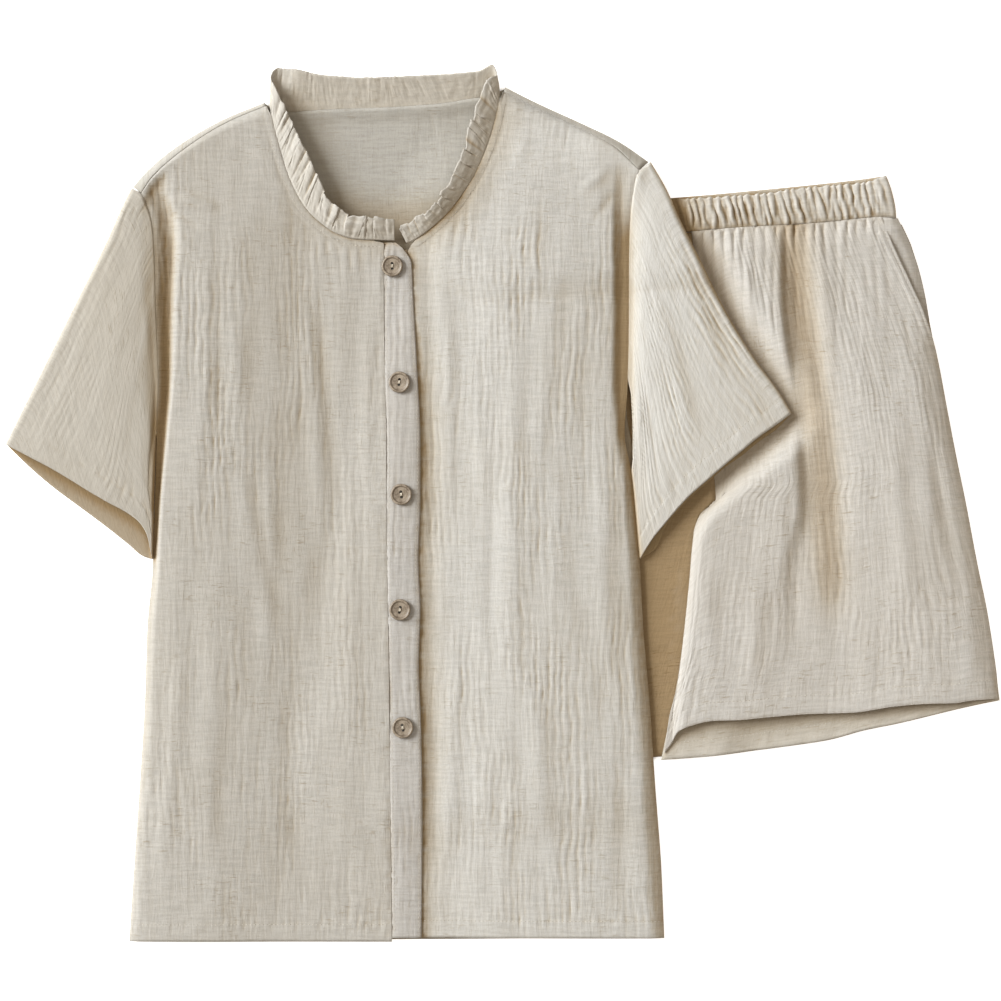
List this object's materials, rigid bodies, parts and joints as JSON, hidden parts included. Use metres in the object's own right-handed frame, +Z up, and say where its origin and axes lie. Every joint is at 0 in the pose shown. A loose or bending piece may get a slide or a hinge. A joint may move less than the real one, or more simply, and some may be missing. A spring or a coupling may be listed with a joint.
{
  "type": "short pyjama set",
  "caption": "Short pyjama set laid flat: short-sleeved button-front shirt with a frilled round neck, over pull-on shorts with a gathered waistband and slant pockets.",
  "frame": {"origin": "on the surface that the set lies on, under the centre of its layout", "axes": "+X across the layout towards the wearer's left, +Y from the hems to the neck, +Z up from the surface"},
  "size_m": [0.7963, 0.701, 0.0208],
  "materials": {
    "gauze": "undyed oatmeal linen and cotton double gauze, matt, crinkled, with darker slub flecks",
    "gauze_back": "the same double gauze, lying in shade",
    "button": "mottled horn brown, semi-gloss"
  },
  "bodies": {
    "root": {"shirt_front_right": "gauze", "shirt_front_left": "gauze", "shirt_sleeve_right": "gauze", "shirt_sleeve_left": "gauze", "shirt_placket_right": "gauze", "shirt_placket_left": "gauze", "shirt_neck_ruffle": "gauze", "shorts_front_right": "gauze", "shorts_front_left": "gauze", "shorts_waistband": "gauze", "shorts_pocket_right": "gauze", "shorts_pocket_left": "gauze", "shirt_back": "gauze_back", "shorts_back_right": "gauze_back", "shorts_back_left": "gauze_back", "shirt_button_1": "button", "shirt_button_2": "button", "shirt_button_3": "button", "shirt_button_4": "button", "shirt_button_5": "button"}
  },
  "joints": []
}
